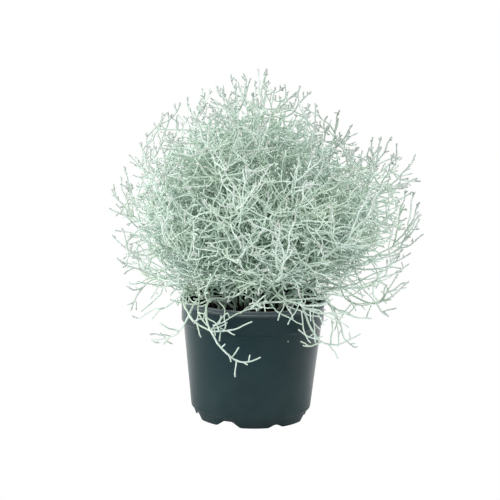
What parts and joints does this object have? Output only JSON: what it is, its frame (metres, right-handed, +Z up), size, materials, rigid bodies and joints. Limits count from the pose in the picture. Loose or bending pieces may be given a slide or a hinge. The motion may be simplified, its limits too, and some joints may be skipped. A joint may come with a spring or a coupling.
{
  "type": "potted cushion bush",
  "caption": "Cushion bush with wiry silver-felted stems in a ball, growing out of soil in a tapered plastic nursery pot",
  "frame": {"origin": "pot axis in the plane that the pot stands on", "axes": "+Z up along the pot's axis, +X to the right and -Y to the front as pictured"},
  "size_m": [0.2775, 0.278, 0.3134],
  "materials": {
    "pot_plastic": "satin moulded slate-grey plastic",
    "soil": "damp dark peat and bark",
    "felted_stem": "matte pale silver-green felt on thin wiry stems"
  },
  "bodies": {
    "root": {"pot": "pot_plastic", "potting_soil": "soil", "stem_01": "felted_stem", "stem_02": "felted_stem", "stem_03": "felted_stem", "stem_04": "felted_stem", "stem_05": "felted_stem", "stem_06": "felted_stem", "stem_07": "felted_stem", "stem_08": "felted_stem", "stem_09": "felted_stem", "stem_10": "felted_stem", "stem_11": "felted_stem", "stem_12": "felted_stem", "stem_13": "felted_stem", "stem_14": "felted_stem", "stem_15": "felted_stem", "stem_16": "felted_stem", "stem_17": "felted_stem", "stem_18": "felted_stem", "stem_19": "felted_stem", "stem_20": "felted_stem", "stem_21": "felted_stem", "stem_22": "felted_stem", "stem_23": "felted_stem", "stem_24": "felted_stem", "stem_25": "felted_stem", "stem_26": "felted_stem", "stem_27": "felted_stem", "stem_28": "felted_stem", "stem_29": "felted_stem", "stem_30": "felted_stem", "stem_31": "felted_stem", "stem_32": "felted_stem", "stem_33": "felted_stem", "stem_34": "felted_stem", "stem_35": "felted_stem", "stem_36": "felted_stem", "stem_37": "felted_stem", "stem_38": "felted_stem"}
  },
  "joints": []
}
